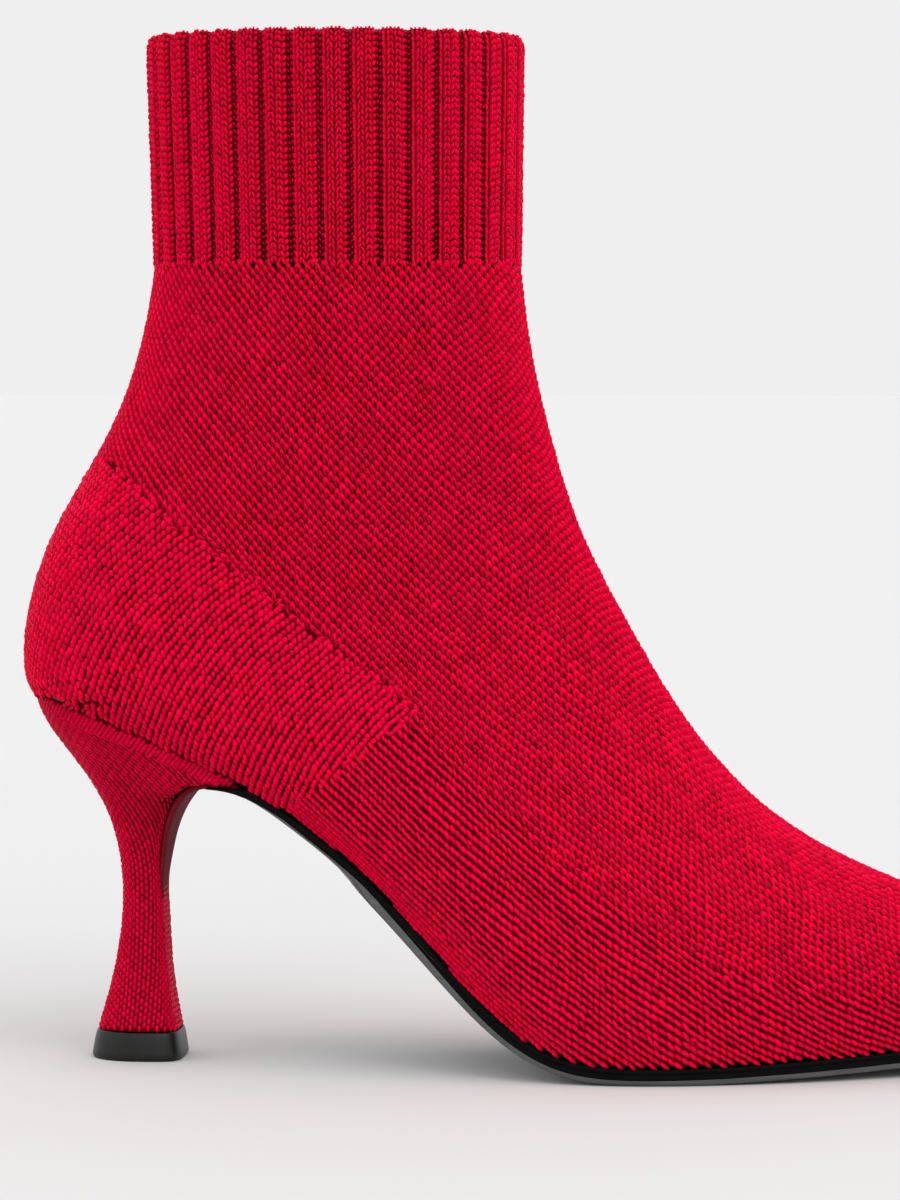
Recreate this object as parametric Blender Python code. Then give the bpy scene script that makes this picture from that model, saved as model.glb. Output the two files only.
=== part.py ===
# Sock boot with a flared high heel: a right boot, about EU 37, that stands on its sole and heel tip.
# Metres, +Z up, toe towards +X, the outer side of the foot towards -Y.
# Tables are in millimetres, with X from the back of the heel and Z from the floor.
# The whole boot is then moved so that its origin is under the middle of its box.

import math
from collections import namedtuple

import bmesh
import bpy
import numpy as np
from mathutils import Vector

MM = 0.001
GAP = 0.3                     # clearance between pieces that touch
WALL = 2.0                    # knit of the foot and shaft
COLUMNS = 32                  # points across one cut of the upper
CURVE_STEPS = 40              # fineness of a cut before its points are spaced evenly

CUFF_BOTTOM = 179.0
CUFF_TOP = 230.2
CUFF_RIBS = 36
CUFF_WALL = 3.2
CUFF_CENTRE_BOTTOM = 70.9
CUFF_CENTRE_TOP = 70.4
CUFF_LENGTH_BOTTOM = 82.8     # front to back over the ribs
CUFF_LENGTH_TOP = 85.0
CUFF_WIDTH_SHARE = 0.8        # side to side, as a share of front to back
RIB_DEPTH = 1.1
RIB_SHAPE = (1.0, 0.25, 0.0, 0.25)   # share of that depth at a rib's groove, shoulder, crest, shoulder

SOLE_THICKNESS = 3.7          # at the forefoot
SHANK_THICKNESS = 2.5         # under the arch
TAIL_THICKNESS = 1.5          # where the sole ends behind the heel's lip
CUTS_TO_BALL = 7              # cuts over which the sole grows to its full thickness
SOLE_LIP = 0.9                # how far the sole stands out past the upper's feather edge
SOLE_TUCK = 0.4               # how far its top face runs in under that edge
RIM_HEIGHT = 0.8              # thin rim along the top of the sole's edge
RIM_STEP = 0.45
SOLE_BEVEL = 1.3
LEAST_EDGE = 0.1              # upright part of the edge, where the sole is too thin for its bevel
INSOLE_THICKNESS = 1.8
INSOLE_INSET = 2.3            # clears the upper's turned-in edge

HEEL_POINTS = 28
BREAST_THICKNESS = 0.7
BREAST_INSET = 1.2
TIP_HEIGHT = 6.4

# Levels round the cuff's wall: the ring's height, its inset from the ribs' crests, and the
# depth of the grooves between the ribs there.
Level = namedtuple("Level", "height inset rib_depth")
CUFF_LEVELS = (
    Level(CUFF_BOTTOM + 0.5, CUFF_WALL, 0.0),
    Level(CUFF_BOTTOM, CUFF_WALL - 0.6, 0.0),
    Level(CUFF_BOTTOM, 0.35, 0.0),
    Level(CUFF_BOTTOM + 0.9, 0.0, RIB_DEPTH),
    Level(CUFF_TOP - 1.8, 0.0, RIB_DEPTH),
    Level(CUFF_TOP - 0.5, 0.5, 0.7 * RIB_DEPTH),
    Level(CUFF_TOP, 1.3, 0.3 * RIB_DEPTH),
    Level(CUFF_TOP - 0.4, CUFF_WALL - 0.5, 0.0),
    Level(CUFF_TOP - 1.4, CUFF_WALL, 0.0),
)

# Cuts of the upper, from the cuff down the back of the heel and along the sole to the toe.
# back and front are the ends of the cut on the boot's side view. mid is its middle line's Y.
# foot is half the width where the upper meets the sole, wide the greatest half width,
# level where that lies between back and front, low and high how square the cut is below
# and above it, ridge how far the front end leans to the inner side.
Cut = namedtuple("Cut", "back_x back_z front_x front_z mid foot wide level low high ridge")
UPPER_CUTS = (
    Cut(31.9, 180.6, 110.0, 180.6, 0.0, 0.0, 31.1, 0.50, 2.0, 2.0, 0.0),
    Cut(30.0, 178.7, 111.9, 178.7, 0.0, 0.0, 32.6, 0.50, 2.0, 2.0, 0.0),
    Cut(29.0, 171.2, 112.6, 171.8, 0.0, 0.0, 32.6, 0.50, 2.0, 2.0, 0.0),
    Cut(26.2, 158.0, 113.9, 162.0, 0.0, 0.0, 32.3, 0.50, 2.05, 2.0, 0.2),
    Cut(21.4, 144.5, 115.6, 153.6, 0.0, 0.0, 31.9, 0.49, 2.1, 2.0, 0.4),
    Cut(14.4, 132.3, 117.6, 145.6, 0.0, 0.0, 31.6, 0.48, 2.2, 2.0, 0.6),
    Cut(7.8, 121.5, 119.5, 139.0, 0.0, 0.0, 31.3, 0.47, 2.3, 2.03, 0.8),
    Cut(3.2, 110.5, 121.3, 132.9, 0.0, 0.0, 31.1, 0.45, 2.45, 2.05, 0.9),
    Cut(0.7, 100.0, 123.3, 127.0, 0.0, 0.0, 30.9, 0.43, 2.6, 2.05, 1.0),
    Cut(0.0, 91.5, 125.2, 122.0, 0.0, 0.0, 30.8, 0.41, 2.7, 2.05, 1.1),
    Cut(0.7, 85.8, 126.8, 118.2, 0.0, 0.0, 30.7, 0.39, 2.75, 2.05, 1.2),
    Cut(2.2, 83.0, 127.8, 116.0, 0.0, 0.0, 30.7, 0.38, 2.75, 2.04, 1.2),
    Cut(4.8, 82.4, 129.0, 113.4, 0.0, 9.8, 30.7, 0.37, 2.6, 2.03, 1.3),
    Cut(10.0, 81.1, 130.6, 109.9, 0.0, 17.0, 30.8, 0.36, 2.4, 2.01, 1.4),
    Cut(18.5, 78.2, 132.4, 106.1, 0.0, 22.0, 30.9, 0.34, 2.2, 1.99, 1.5),
    Cut(29.0, 74.2, 134.4, 102.3, 0.0, 24.2, 31.0, 0.32, 2.1, 1.97, 1.6),
    Cut(41.0, 69.0, 136.7, 98.0, -0.1, 24.7, 31.2, 0.30, 2.0, 1.95, 1.8),
    Cut(53.0, 63.2, 139.0, 93.7, -0.4, 23.9, 31.4, 0.29, 2.0, 1.93, 2.0),
    Cut(64.5, 56.6, 141.4, 89.4, -0.8, 23.0, 31.6, 0.28, 2.0, 1.92, 2.2),
    Cut(75.5, 48.2, 144.0, 85.0, -1.6, 22.6, 32.1, 0.27, 2.0, 1.9, 2.5),
    Cut(86.0, 38.2, 146.8, 80.7, -2.5, 23.2, 32.8, 0.27, 2.0, 1.9, 2.8),
    Cut(96.0, 27.3, 150.0, 76.0, -3.2, 25.4, 34.4, 0.27, 2.0, 1.9, 3.1),
    Cut(105.5, 16.9, 153.6, 71.2, -3.5, 28.4, 36.2, 0.28, 2.0, 1.9, 3.4),
    Cut(115.0, 9.2, 158.0, 66.1, -3.2, 32.0, 38.0, 0.29, 2.0, 1.95, 3.6),
    Cut(124.5, 5.1, 163.3, 60.3, -2.5, 35.2, 39.3, 0.31, 2.0, 1.95, 3.7),
    Cut(134.5, 4.0, 169.5, 55.2, -1.5, 37.2, 39.9, 0.33, 2.0, 2.0, 3.6),
    Cut(145.5, 4.0, 176.6, 50.3, -0.4, 37.9, 39.8, 0.35, 2.0, 2.0, 3.3),
    Cut(157.5, 4.2, 184.8, 45.8, 0.8, 36.8, 38.5, 0.36, 2.0, 2.0, 2.9),
    Cut(170.0, 4.8, 194.2, 41.7, 1.6, 34.2, 35.8, 0.37, 2.0, 2.0, 2.4),
    Cut(182.5, 5.4, 203.6, 37.9, 2.3, 30.4, 32.0, 0.38, 2.0, 2.05, 1.9),
    Cut(194.5, 6.1, 212.4, 34.0, 2.9, 25.6, 27.3, 0.38, 2.0, 2.1, 1.5),
    Cut(206.0, 6.8, 220.4, 29.9, 3.4, 20.2, 21.9, 0.39, 2.0, 2.15, 1.1),
    Cut(216.5, 7.5, 227.4, 25.5, 3.8, 14.8, 16.4, 0.40, 2.0, 2.2, 0.7),
    Cut(225.5, 8.1, 233.2, 20.9, 4.1, 9.9, 11.4, 0.41, 2.0, 2.2, 0.4),
    Cut(232.5, 8.6, 237.4, 16.2, 4.3, 5.8, 6.9, 0.43, 2.0, 2.2, 0.2),
    Cut(237.4, 8.9, 239.6, 13.0, 4.4, 2.5, 3.2, 0.46, 2.0, 2.1, 0.1),
)
TOE_DOME = 1.0                # how far the toe's end stands out from its last cut
FIRST_SOLE_CUT = 11           # where the back of the heel turns under
FIRST_OUTSOLE_CUT = 17        # where the sole comes out from under the heel's lip

# Rings of the heel, from the seat down to the tip. mid_x is where a ring is widest.
Ring = namedtuple("Ring", "back_x back_z front_x front_z mid_x half square")
HEEL_RINGS = (
    Ring(2.6, 82.4, 51.6, 63.6, 30.0, 24.6, 5.0),
    Ring(3.7, 79.2, 47.6, 63.7, 27.5, 23.9, 5.0),
    Ring(6.0, 75.3, 42.4, 63.6, 25.5, 21.4, 5.0),
    Ring(9.3, 71.0, 38.3, 62.0, 24.0, 18.2, 5.0),
    Ring(12.9, 66.5, 35.4, 58.8, 23.7, 15.0, 5.0),
    Ring(16.2, 61.6, 33.3, 54.8, 24.0, 12.3, 4.5),
    Ring(19.2, 56.0, 32.0, 50.4, 24.7, 10.2, 4.5),
    Ring(21.2, 49.6, 31.3, 45.4, 25.6, 8.7, 4.0),
    Ring(22.2, 43.0, 31.0, 40.6, 26.2, 7.8, 4.0),
    Ring(22.5, 36.0, 31.6, 35.4, 26.6, 7.4, 4.0),
    Ring(21.8, 28.0, 32.0, 28.0, 26.6, 7.3, 4.0),
    Ring(20.3, 20.0, 32.4, 20.0, 26.4, 7.7, 4.0),
    Ring(18.6, 13.5, 33.4, 13.5, 26.2, 8.4, 4.0),
    Ring(17.0, 8.4, 34.4, 8.4, 26.0, 9.1, 4.0),
    Ring(16.6, 6.7, 34.7, 6.7, 26.0, 9.2, 4.0),
)
BREAST_RINGS = (0, 9)         # the smooth strip covers the heel's front between these rings
# The tip's own rings: a flat top, a thin step, a flare, and a small round at the floor.
TIP_RINGS = (
    Ring(16.0, TIP_HEIGHT, 35.2, TIP_HEIGHT, 26.0, 9.4, 4.5),
    Ring(15.6, 5.7, 35.5, 5.7, 26.0, 9.8, 4.5),
    Ring(14.7, 0.7, 36.2, 0.7, 26.0, 10.6, 4.5),
    Ring(15.1, 0.0, 35.8, 0.0, 26.0, 10.2, 4.5),
)

Finish = namedtuple("Finish", "color metallic roughness")
FINISHES = {
    "red_knit": Finish((0.56, 0.002, 0.027), 0.0, 0.72),
    "heel_knit": Finish((0.5, 0.002, 0.025), 0.0, 0.72),
    "insole_lining": Finish((0.35, 0.01, 0.03), 0.0, 0.8),
    "black_sole": Finish((0.012, 0.013, 0.012), 0.0, 0.45),
    "maroon_leather": Finish((0.14, 0.014, 0.02), 0.0, 0.4),
    "tip_rubber": Finish((0.025, 0.026, 0.026), 0.0, 0.38),
}


def clear_scene():
    for item in list(bpy.data.objects):
        bpy.data.objects.remove(item)


def make_material(name):
    """One Principled material from the table of finishes."""
    finish = FINISHES[name]
    material = bpy.data.materials.new(name)
    material.use_nodes = True
    shader = material.node_tree.nodes["Principled BSDF"]
    shader.inputs["Base Color"].default_value = (*finish.color, 1.0)
    shader.inputs["Metallic"].default_value = finish.metallic
    shader.inputs["Roughness"].default_value = finish.roughness
    return material


def add_object(name, bm, material, sharp=35.0):
    """Closes off a bmesh as a smooth-shaded object."""
    bmesh.ops.remove_doubles(bm, verts=bm.verts, dist=0.02 * MM)
    bmesh.ops.recalc_face_normals(bm, faces=bm.faces)
    mesh = bpy.data.meshes.new(name)
    bm.to_mesh(mesh)
    bm.free()
    mesh.shade_smooth()
    mesh.set_sharp_from_angle(angle=math.radians(sharp))
    mesh.materials.append(make_material(material))
    item = bpy.data.objects.new(name, mesh)
    bpy.context.collection.objects.link(item)
    return item


def skin(bm, rows, closed=False, caps=False):
    """Faces between rows of points, each row as long as the next."""
    grid = [[bm.verts.new(Vector(point) * MM) for point in row] for row in rows]
    columns = len(rows[0])
    for lower, upper in zip(grid, grid[1:]):
        for column in range(columns if closed else columns - 1):
            after = (column + 1) % columns
            bm.faces.new((lower[column], lower[after], upper[after], upper[column]))
    if caps:
        bm.faces.new(grid[0])
        bm.faces.new(grid[-1])
    return grid


def space_evenly(points, count):
    """The same line with count + 1 points at equal distances along it."""
    line = np.array(points, dtype=float)
    lengths = np.concatenate(([0.0], np.cumsum(np.linalg.norm(np.diff(line, axis=0), axis=1))))
    places = np.linspace(0.0, lengths[-1], count + 1)
    return [Vector([np.interp(place, lengths, line[:, axis]) for axis in range(3)]) for place in places]


def cut_side(cut, side):
    """Half a cut, from the sole's edge round the widest level to the front ridge."""
    back = Vector((cut.back_x, 0.0, cut.back_z))
    front = Vector((cut.front_x, 0.0, cut.front_z))
    points = []
    for step in range(2 * CURVE_STEPS + 1):
        turn = (step % CURVE_STEPS) / CURVE_STEPS * math.pi / 2
        if step < CURVE_STEPS:
            across = cut.foot + (cut.wide - cut.foot) * math.sin(turn) ** (2 / cut.low)
            along = cut.level * (1 - math.cos(turn) ** (2 / cut.low))
        elif step < 2 * CURVE_STEPS:
            across = cut.wide * math.cos(turn) ** (2 / cut.high)
            along = cut.level + (1 - cut.level) * math.sin(turn) ** (2 / cut.high)
        else:
            across, along = 0.0, 1.0
        middle = back.lerp(front, along)
        points.append((middle.x, cut.mid + cut.ridge * along + side * across, middle.z))
    return space_evenly(points, COLUMNS // 2)


def cut_points(cut):
    outer = cut_side(cut, -1)
    inner = cut_side(cut, 1)
    return outer + inner[-2::-1]


def walk_ellipse(half_x, half_y, count):
    """Points and outward directions at equal steps round an ellipse."""
    angles = np.linspace(0.0, 2 * math.pi, 721)
    xs, ys = half_x * np.cos(angles), half_y * np.sin(angles)
    lengths = np.concatenate(([0.0], np.cumsum(np.hypot(np.diff(xs), np.diff(ys)))))
    for place in range(count):
        angle = np.interp(lengths[-1] * (place + 0.5) / count, lengths, angles)
        point = Vector((half_x * math.cos(angle), half_y * math.sin(angle), 0.0))
        outward = Vector((point.x / half_x ** 2, point.y / half_y ** 2, 0.0)).normalized()
        yield point, outward


def cuff_ring(level):
    """One level of the cuff, four points to a rib: its groove, two shoulders and its crest."""
    share = (level.height - CUFF_BOTTOM) / (CUFF_TOP - CUFF_BOTTOM)
    half_x = (CUFF_LENGTH_BOTTOM + share * (CUFF_LENGTH_TOP - CUFF_LENGTH_BOTTOM)) / 2
    half_y = half_x * CUFF_WIDTH_SHARE
    centre = CUFF_CENTRE_BOTTOM + share * (CUFF_CENTRE_TOP - CUFF_CENTRE_BOTTOM)
    ring = []
    for number, (point, outward) in enumerate(walk_ellipse(half_x, half_y, len(RIB_SHAPE) * CUFF_RIBS)):
        sink = level.rib_depth * RIB_SHAPE[number % len(RIB_SHAPE)]
        place = point - outward * (level.inset + sink)
        ring.append((centre + place.x, place.y, level.height))
    return ring


def make_cuff():
    """The ribbed band as a solid ring, with a rounded rim at its top."""
    bm = bmesh.new()
    rows = [cuff_ring(level) for level in CUFF_LEVELS]
    skin(bm, rows + rows[:1], closed=True)
    return add_object("cuff", bm, "red_knit")


def make_upper():
    """Foot and shaft as one hollow wall, with the cuff as a ribbed step at its top."""
    bm = bmesh.new()
    grid = skin(bm, [cut_points(cut) for cut in UPPER_CUTS])
    toe = bm.faces.new(grid[-1][::-1])
    bmesh.ops.poke(bm, faces=[toe], offset=TOE_DOME * MM)
    upper = add_object("knit_upper", bm, "red_knit")
    wall = upper.modifiers.new("wall", "SOLIDIFY")
    wall.thickness = WALL * MM
    wall.offset = -1.0
    cuff = make_cuff()
    cuff.hide_render = True
    cuff.display_type = "WIRE"
    join = upper.modifiers.new("cuff", "BOOLEAN")
    join.operation = "UNION"
    join.object = cuff
    return [upper, cuff]


def sole_normals(cuts):
    """Downward directions square to the line on which the upper meets the sole."""
    normals = []
    for number in range(len(cuts)):
        before = cuts[max(number - 1, 0)]
        after = cuts[min(number + 1, len(cuts) - 1)]
        run = Vector((after.back_x - before.back_x, 0.0, after.back_z - before.back_z)).normalized()
        normals.append(Vector((run.z, 0.0, -run.x)))
    return normals


def plate_ring(cut, normal, profile):
    """A closed ring across the sole. Each profile step is a depth and an inset from the edge."""
    ring = []
    for side, steps in ((-1, profile), (1, profile[::-1])):
        for depth, inset in steps:
            centre = Vector((cut.back_x, cut.mid, cut.back_z)) + normal * depth
            ring.append((centre.x, centre.y + side * (cut.foot - inset), centre.z))
    return ring


def make_outsole():
    """Black sole from the heel's lip to the toe, thin at its back end, rimmed along its edge."""
    cuts = UPPER_CUTS[FIRST_OUTSOLE_CUT:]
    rows = []
    for number, (cut, normal) in enumerate(zip(cuts, sole_normals(cuts))):
        to_ball = min(1.0, number / CUTS_TO_BALL)
        thickness = SHANK_THICKNESS + (SOLE_THICKNESS - SHANK_THICKNESS) * to_ball
        bottom = GAP + (thickness if number else TAIL_THICKNESS)
        profile = (
            (GAP, SOLE_TUCK),
            (GAP, -SOLE_LIP),
            (GAP + RIM_HEIGHT, -SOLE_LIP),
            (GAP + RIM_HEIGHT, RIM_STEP - SOLE_LIP),
            (max(bottom - SOLE_BEVEL, GAP + RIM_HEIGHT + LEAST_EDGE), RIM_STEP - SOLE_LIP),
            (bottom, SOLE_BEVEL + RIM_STEP - SOLE_LIP),
        )
        rows.append(plate_ring(cut, normal, profile))
    bm = bmesh.new()
    skin(bm, rows, closed=True, caps=True)
    return add_object("outsole", bm, "black_sole")


def make_insole():
    """Board in the opening underneath the upper, from the heel seat to the toe."""
    cuts = UPPER_CUTS[FIRST_SOLE_CUT + 2:-1]
    profile = ((-INSOLE_THICKNESS, INSOLE_INSET), (0.0, INSOLE_INSET))
    rows = [plate_ring(cut, normal, profile) for cut, normal in zip(cuts, sole_normals(cuts))]
    bm = bmesh.new()
    skin(bm, rows, closed=True, caps=True)
    return add_object("insole", bm, "insole_lining")


def seat_height(x):
    """Z of the line where the upper sits on the heel."""
    cuts = UPPER_CUTS[FIRST_SOLE_CUT:FIRST_OUTSOLE_CUT + 3]
    return float(np.interp(x, [cut.back_x for cut in cuts], [cut.back_z for cut in cuts]))


def heel_ring(ring, on_seat=False):
    """A ring that is round at the back and square with soft corners at the front."""
    points = []
    for number in range(HEEL_POINTS):
        turn = 2 * math.pi * number / HEEL_POINTS
        ahead = math.cos(turn)
        power = 2 / ring.square if ahead > 0 else 1.0
        reach = ring.front_x - ring.mid_x if ahead > 0 else ring.mid_x - ring.back_x
        x = ring.mid_x + math.copysign(abs(ahead) ** power, ahead) * reach
        y = math.copysign(abs(math.sin(turn)) ** power, math.sin(turn)) * ring.half
        share = (x - ring.back_x) / (ring.front_x - ring.back_x)
        z = ring.back_z + share * (ring.front_z - ring.back_z)
        if on_seat:
            z = seat_height(x) - GAP
        points.append((x, y, z))
    return points


def make_heel():
    rows = [heel_ring(ring, on_seat=number == 0) for number, ring in enumerate(HEEL_RINGS)]
    bm = bmesh.new()
    skin(bm, rows, closed=True, caps=True)
    return add_object("heel", bm, "heel_knit")


def make_heel_breast():
    """Thin smooth strip down the hollow front of the heel."""
    first, last = BREAST_RINGS
    rings = HEEL_RINGS[first:last + 1]
    rows = []
    for number, ring in enumerate(rings):
        before = rings[max(number - 1, 0)]
        after = rings[min(number + 1, len(rings) - 1)]
        run = Vector((after.front_x - before.front_x, 0.0, after.front_z - before.front_z)).normalized()
        ahead = Vector((-run.z, 0.0, run.x))
        half = ring.half - BREAST_INSET
        surface = Vector((ring.front_x, 0.0, ring.front_z))
        near = surface + ahead * GAP
        far = surface + ahead * (GAP + BREAST_THICKNESS)
        rows.append([(spot.x, side * half, spot.z) for spot, side in
                     ((near, -1), (near, 1), (far, 1), (far, -1))])
    bm = bmesh.new()
    skin(bm, rows, closed=True, caps=True)
    return add_object("heel_breast", bm, "maroon_leather")


def make_heel_tip():
    rows = [heel_ring(ring) for ring in TIP_RINGS]
    bm = bmesh.new()
    skin(bm, rows, closed=True, caps=True)
    return add_object("heel_tip", bm, "tip_rubber")


def move_origin(items):
    """Puts the origin under the middle of the boot's box."""
    corners = [vertex.co for item in items for vertex in item.data.vertices]
    low = [min(corner[axis] for corner in corners) for axis in range(3)]
    high = [max(corner[axis] for corner in corners) for axis in range(3)]
    shift = Vector((-(low[0] + high[0]) / 2, -(low[1] + high[1]) / 2, -low[2]))
    for item in items:
        for vertex in item.data.vertices:
            vertex.co += shift


def main():
    clear_scene()
    items = make_upper()
    items += [make_insole(), make_outsole(), make_heel(), make_heel_breast(), make_heel_tip()]
    move_origin(items)


main()
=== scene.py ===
import math

import bmesh
import bpy
import numpy as np
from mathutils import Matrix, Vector


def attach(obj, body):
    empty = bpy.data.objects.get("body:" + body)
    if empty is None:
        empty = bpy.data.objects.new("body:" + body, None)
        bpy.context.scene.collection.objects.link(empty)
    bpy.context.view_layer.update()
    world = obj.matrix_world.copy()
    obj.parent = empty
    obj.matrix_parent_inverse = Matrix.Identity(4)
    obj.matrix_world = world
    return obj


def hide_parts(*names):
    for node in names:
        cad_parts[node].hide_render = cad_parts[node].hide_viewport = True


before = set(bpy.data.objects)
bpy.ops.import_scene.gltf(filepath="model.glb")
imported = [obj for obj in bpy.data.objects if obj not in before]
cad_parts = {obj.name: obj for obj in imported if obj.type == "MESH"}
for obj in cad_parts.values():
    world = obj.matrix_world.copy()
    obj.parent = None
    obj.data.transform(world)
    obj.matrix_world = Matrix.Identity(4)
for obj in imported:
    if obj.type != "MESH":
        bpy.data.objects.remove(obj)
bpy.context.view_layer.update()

mm = 0.001
# The tables below are in millimetres from the back of the boot. This takes the boot's own frame to theirs.
tableShift = np.array([119.8, -0.135, 0.0])
dice = np.random.default_rng(11)


def toLinear(hexColour):
    parts = [int(hexColour[i:i + 2], 16) / 255 for i in (1, 3, 5)]
    return tuple(p / 12.92 if p < 0.04045 else ((p + 0.055) / 1.055) ** 2.4 for p in parts) + (1.0,)


def addNode(tree, kind, inputs=(), **settings):
    node = tree.nodes.new(kind)
    for name, value in settings.items():
        setattr(node, name, value)
    for name, value in dict(inputs).items():
        if isinstance(value, bpy.types.NodeSocket):
            tree.links.new(value, node.inputs[name])
        else:
            node.inputs[name].default_value = value
    return node


def newMaterial(name, values):
    material = bpy.data.materials.new(name)
    material.use_nodes = True
    shader = material.node_tree.nodes["Principled BSDF"]
    for socket, value in values.items():
        shader.inputs[socket].default_value = value
    return material, material.node_tree, shader


def smoothStep(value, low, high):
    share = np.clip((value - low) / (high - low), 0.0, 1.0)
    return share * share * (3.0 - 2.0 * share)


def unit(vectors):
    return vectors / np.maximum(np.linalg.norm(vectors, axis=-1, keepdims=True), 1e-12)


def mergedCopy(nodeName):
    bm = bmesh.new()
    bm.from_mesh(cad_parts[nodeName].data)
    bmesh.ops.remove_doubles(bm, verts=bm.verts, dist=0.02 * mm)
    bmesh.ops.join_triangles(bm, faces=bm.faces, angle_face_threshold=math.radians(40),
                             angle_shape_threshold=math.radians(60))
    return bm


def addPiece(name, source, materials, replaced=()):
    if isinstance(source, bmesh.types.BMesh):
        mesh = bpy.data.meshes.new(name)
        source.to_mesh(mesh)
        source.free()
    else:
        mesh = source
    for material in materials:
        mesh.materials.append(material)
    piece = bpy.data.objects.new(name, mesh)
    bpy.context.collection.objects.link(piece)
    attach(piece, "root")
    if replaced:
        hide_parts(*replaced)
    return piece


def addSubdivision(piece, levels):
    modifier = piece.modifiers.new("round", "SUBSURF")
    modifier.levels = modifier.render_levels = levels


# Polyamide yarn, weft-knitted on a machine: soft and slightly fuzzy, matt with a pink sheen at grazing
# angles.
# Its colour follows each stitch's height: painted shade down its sides, almost black between the stitches
# where little light gets in, and a painted highlight on its crest. The fibres are drawn four times as coarse
# as they are, so that they show.
yarnLook = {"crest": "#E4003C", "flank": "#BE0026", "pitShade": "#380004", "flankRise": (0.0, 0.5),
            "crestRise": (0.45, 1.0), "roughness": 0.42, "specular": 0.02, "sheen": 0.012,
            "sheenColour": "#FF5A78", "sheenRoughness": 0.45, "fibreMm": 0.16, "coarser": 4, "bumpMm": 0.05}


def yarnMaterial(name, look):
    material, tree, shader = newMaterial(name, {
        "Roughness": look["roughness"], "Specular IOR Level": look["specular"], "Sheen Weight": look["sheen"],
        "Sheen Roughness": look["sheenRoughness"], "Sheen Tint": toLinear(look["sheenColour"]), "IOR": 1.53})
    rise = addNode(tree, "ShaderNodeAttribute", attribute_name="rise")
    tint = addNode(tree, "ShaderNodeAttribute", attribute_name="tint")
    place = addNode(tree, "ShaderNodeTexCoord")
    # The stitch's height sets its colour: painted shade low down towards the ground, a painted highlight on
    # its crest.
    low = addNode(tree, "ShaderNodeMapRange", {
        "Value": rise.outputs["Fac"], "From Min": look["flankRise"][0], "From Max": look["flankRise"][1],
    }, interpolation_type="SMOOTHSTEP")
    high = addNode(tree, "ShaderNodeMapRange", {
        "Value": rise.outputs["Fac"], "From Min": look["crestRise"][0], "From Max": look["crestRise"][1],
    }, interpolation_type="SMOOTHSTEP")
    flank = addNode(tree, "ShaderNodeMix", {
        "Factor": low.outputs["Result"], "A": toLinear(look["pitShade"]), "B": toLinear(look["flank"]),
    }, data_type="RGBA")
    crest = addNode(tree, "ShaderNodeMix", {
        "Factor": high.outputs["Result"], "B": toLinear(look["crest"])}, data_type="RGBA")
    tree.links.new(flank.outputs[2], crest.inputs[6])
    shade = addNode(tree, "ShaderNodeHueSaturation", {
        "Color": crest.outputs[2], "Value": tint.outputs["Fac"]})
    tree.links.new(shade.outputs["Color"], shader.inputs["Base Color"])
    fibre = addNode(tree, "ShaderNodeTexNoise", {
        "Vector": place.outputs["Object"], "Scale": 1000 / (look["fibreMm"] * look["coarser"]),
        "Detail": 3.0, "Roughness": 0.6})
    bump = addNode(tree, "ShaderNodeBump", {
        "Height": fibre.outputs["Fac"], "Strength": 0.5, "Distance": look["bumpMm"] * mm})
    tree.links.new(bump.outputs["Normal"], shader.inputs["Normal"])
    return material


redYarn = yarnMaterial("knitted_polyamide_yarn", yarnLook)
heelYarn = yarnMaterial("knitted_heel_cover_yarn", {
    **yarnLook, "crest": "#D8003A", "flank": "#B40024", "fibreMm": 0.12})

# The ground of the same knit between the stitches, deep in its own shade: its dark colour is painted shade,
# two reds in soft patches.
groundLooks = {"knit_ground": ("#3A0007", "#6A0010"), "cuff_groove_ground": ("#4A0008", "#700012")}


def groundMaterial(name, dark, light):
    material, tree, shader = newMaterial(name, {"Roughness": 0.85, "Specular IOR Level": 0.03})
    place = addNode(tree, "ShaderNodeTexCoord")
    patch = addNode(tree, "ShaderNodeTexNoise", {
        "Vector": place.outputs["Object"], "Scale": 700.0, "Detail": 2.0})       # about a stitch across
    shade = addNode(tree, "ShaderNodeMix", {
        "Factor": patch.outputs["Fac"], "A": toLinear(dark), "B": toLinear(light)}, data_type="RGBA")
    tree.links.new(shade.outputs[2], shader.inputs["Base Color"])
    return material


knitGround, grooveGround = (groundMaterial(name, *look) for name, look in groundLooks.items())

# The knit's back face, seen down the shaft: close purl bumps about 1.1 mm apart, matt, with painted shade in
# the gaps between them.
liningLook = {"thread": "#A30A2B", "gap": "#4A0410", "pitchMm": 1.1, "bumpMm": 0.35}
knitLining, tree, shader = newMaterial("knit_back_face", {"Roughness": 0.8, "Specular IOR Level": 0.25})
place = addNode(tree, "ShaderNodeTexCoord")
rows = addNode(tree, "ShaderNodeTexVoronoi", {
    "Vector": place.outputs["Object"], "Scale": 1000 / liningLook["pitchMm"], "Randomness": 0.35})
thread = addNode(tree, "ShaderNodeMix", {
    "Factor": rows.outputs["Distance"], "A": toLinear(liningLook["thread"]), "B": toLinear(liningLook["gap"]),
}, data_type="RGBA")
tree.links.new(thread.outputs[2], shader.inputs["Base Color"])
bump = addNode(tree, "ShaderNodeBump", {
    "Height": rows.outputs["Distance"], "Strength": 0.6, "Distance": liningLook["bumpMm"] * mm}, invert=True)
tree.links.new(bump.outputs["Normal"], shader.inputs["Normal"])

# Polyurethane microfibre on the insole: a soft matt suede-like face with a fine nap.
insoleLook = {"light": "#A8203C", "dark": "#861028", "napMm": 0.5}
insoleLining, tree, shader = newMaterial("insole_microfibre", {"Roughness": 0.85, "Sheen Weight": 0.3})
place = addNode(tree, "ShaderNodeTexCoord")
nap = addNode(tree, "ShaderNodeTexNoise", {
    "Vector": place.outputs["Object"], "Scale": 1000 / insoleLook["napMm"], "Detail": 4.0})
napMix = addNode(tree, "ShaderNodeMix", {
    "Factor": nap.outputs["Fac"], "A": toLinear(insoleLook["dark"]), "B": toLinear(insoleLook["light"]),
}, data_type="RGBA")
tree.links.new(napMix.outputs[2], shader.inputs["Base Color"])
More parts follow.
